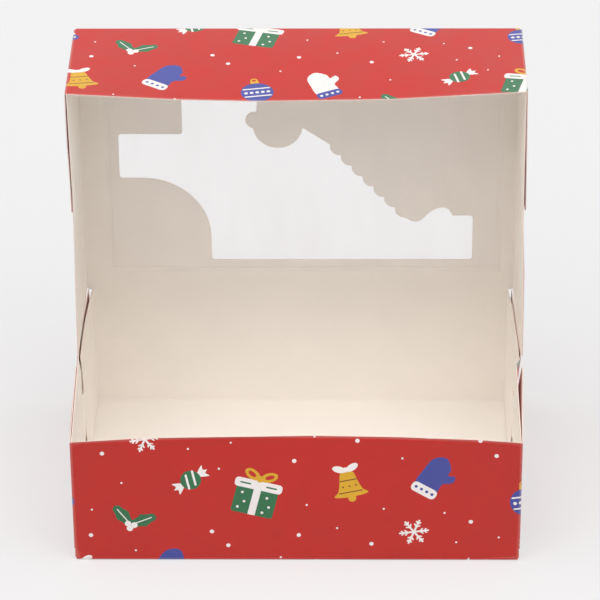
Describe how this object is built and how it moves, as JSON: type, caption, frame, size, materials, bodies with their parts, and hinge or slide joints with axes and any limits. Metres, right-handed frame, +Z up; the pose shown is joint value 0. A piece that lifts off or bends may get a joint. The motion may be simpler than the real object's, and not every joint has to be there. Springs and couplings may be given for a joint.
{
  "type": "mithai sweet box",
  "caption": "Folding carton for sweets with a hinged full-depth lid, a die-cut window with clear film, and locked corner ears.",
  "frame": {"origin": "middle of the tray's underside, on the table", "axes": "+X to the right seen from the front, +Y from the front wall to the lid's hinge, +Z up"},
  "size_m": [0.2282, 0.1501, 0.2211],
  "materials": {
    "carton_board": "satin",
    "window_film": "gloss",
    "film_glue": "gloss"
  },
  "bodies": {
    "tray": {"base_panel": "carton_board", "front_wall": "carton_board", "back_wall": "carton_board", "side_wall_left": "carton_board", "side_wall_right": "carton_board", "front_ear_left": "carton_board", "front_ear_right": "carton_board", "rear_ear_left": "carton_board", "rear_ear_right": "carton_board"},
    "lid": {"lid_panel": "carton_board", "film_glue": "film_glue", "window_film": "window_film", "lid_side_flap_left": "carton_board", "lid_side_flap_right": "carton_board"},
    "lid_front_flap": {"lid_front_flap": "carton_board"},
    "lid_ear_left": {"lid_ear_left": "carton_board"},
    "lid_ear_right": {"lid_ear_right": "carton_board"}
  },
  "joints": [
    {"name": "lid_hinge", "type": "hinge", "parent": "tray", "child": "lid", "pos_m": [0, 0.07477, 0.06972], "axis": [-1, 0, 0], "range_deg": [-90, 90]},
    {"name": "lid_flap_fold", "type": "hinge", "parent": "lid", "child": "lid_front_flap", "pos_m": [0, 0.07477, 0.22073], "axis": [-1, 0, 0], "range_deg": [0, 90]},
    {"name": "lid_ear_left_fold", "type": "hinge", "parent": "lid_front_flap", "child": "lid_ear_left", "pos_m": [-0.11242, 0.07477, 0.22073], "axis": [0, 1, 0], "range_deg": [0, 88]},
    {"name": "lid_ear_right_fold", "type": "hinge", "parent": "lid_front_flap", "child": "lid_ear_right", "pos_m": [0.11242, 0.07477, 0.22073], "axis": [0, -1, 0], "range_deg": [0, 88]}
  ]
}
